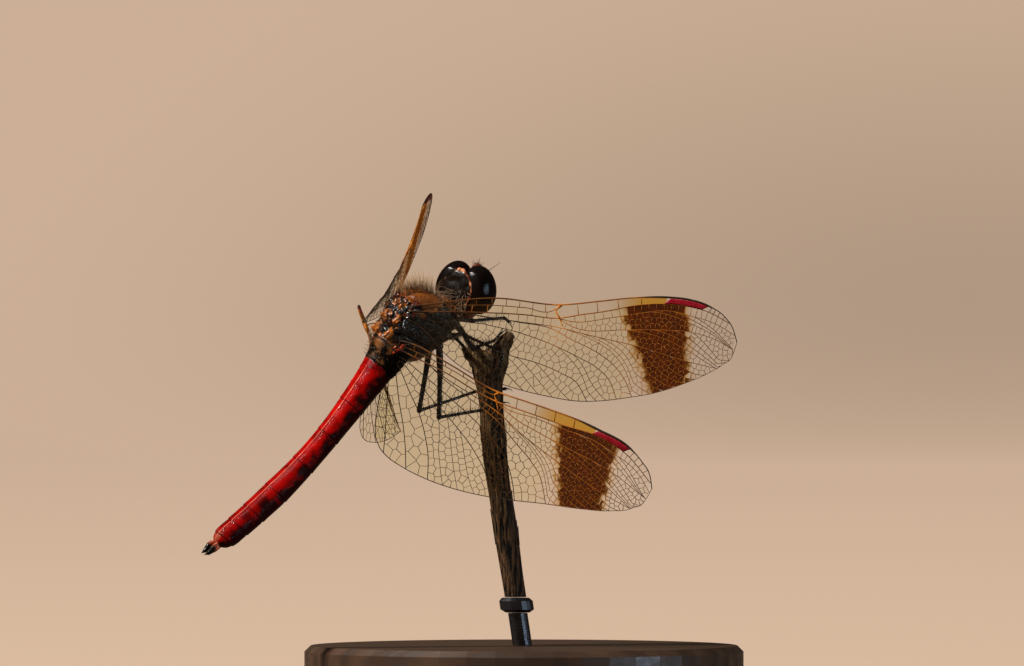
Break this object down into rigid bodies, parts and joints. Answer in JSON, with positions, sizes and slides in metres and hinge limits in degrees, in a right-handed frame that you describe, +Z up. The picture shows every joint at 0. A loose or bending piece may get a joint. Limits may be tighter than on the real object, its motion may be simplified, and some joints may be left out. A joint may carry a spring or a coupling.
{
  "type": "dragonfly display model",
  "caption": "Life-size male banded darter dragonfly with red abdomen and brown wing bands, clinging to a broken stem on a small turned wooden stand.",
  "frame": {"origin": "centre of the stand base's underside, on the floor", "axes": "+Z up; +Y away from the viewer, from the animal's right side towards its left; +X to the viewer's right, the way the animal faces"},
  "size_m": [0.0443, 0.0387, 0.0403],
  "materials": {
    "abdomen": "satin",
    "waist": "satin",
    "clasper": "satin",
    "thorax": "satin",
    "neck": "matt",
    "head": "satin",
    "face": "satin",
    "jaw": "satin",
    "eye": "polished",
    "wing": "glossy",
    "leg": "satin",
    "stem": "rough",
    "metal": "satin",
    "base": "satin"
  },
  "bodies": {
    "root": {"head": "head", "face": "face", "jaw": "jaw", "eye_right": "eye", "eye_left": "eye", "antenna_right": "leg", "antenna_left": "leg", "neck": "neck", "prothorax": "thorax", "thorax": "thorax", "abdomen_1": "waist", "abdomen_2": "waist", "abdomen_3": "abdomen", "abdomen_4": "abdomen", "abdomen_5": "abdomen", "abdomen_6": "abdomen", "abdomen_7": "abdomen", "abdomen_8": "abdomen", "abdomen_9": "abdomen", "abdomen_10": "abdomen", "cercus_right": "clasper", "cercus_left": "clasper", "epiproct": "clasper", "forewing_right": "wing", "forewing_left": "wing", "hindwing_right": "wing", "hindwing_left": "wing", "foreleg_right_femur": "leg", "foreleg_right_tibia": "leg", "foreleg_right_tarsus": "leg", "foreleg_left_femur": "leg", "foreleg_left_tibia": "leg", "foreleg_left_tarsus": "leg", "midleg_right_femur": "leg", "midleg_right_tibia": "leg", "midleg_right_tarsus": "leg", "midleg_left_femur": "leg", "midleg_left_tibia": "leg", "midleg_left_tarsus": "leg", "hindleg_right_femur": "leg", "hindleg_right_tibia": "leg", "hindleg_right_tarsus": "leg", "hindleg_left_femur": "leg", "hindleg_left_tibia": "leg", "hindleg_left_tarsus": "leg", "perch": "stem", "stand_rod": "metal", "stand_collar": "metal", "stand_base": "base"}
  },
  "joints": []
}
